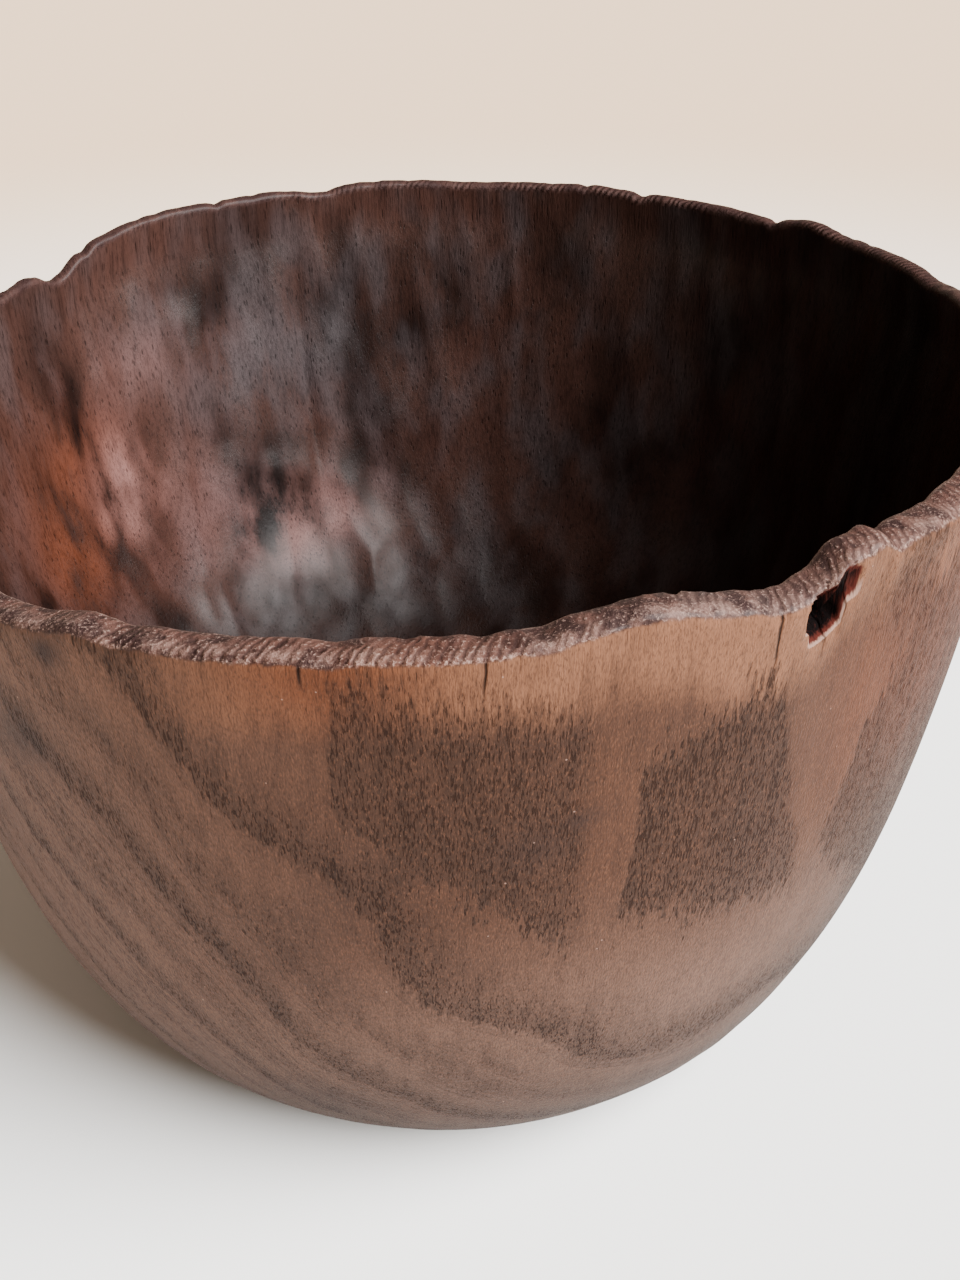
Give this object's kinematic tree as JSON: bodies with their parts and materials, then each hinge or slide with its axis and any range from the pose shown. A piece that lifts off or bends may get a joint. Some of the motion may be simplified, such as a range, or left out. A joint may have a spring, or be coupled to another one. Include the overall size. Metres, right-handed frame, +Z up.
{
  "type": "carved wooden bowl",
  "caption": "Deep hand-carved bowl made from one block of dark hardwood, with an uneven, slightly out-of-round rim, a chipped notch in the rim and a small flat foot.",
  "frame": {"origin": "on the table under the middle of the bowl's plan box, in the plane of the foot", "axes": "+Z is up out of the mouth; -Y is the front, where the chipped notch in the rim is a little to the right; +X is to the right seen from the front"},
  "size_m": [0.2468, 0.2732, 0.1575],
  "materials": {
    "oiled_hardwood": "satin"
  },
  "bodies": {
    "root": {"bowl": "oiled_hardwood"}
  },
  "joints": []
}
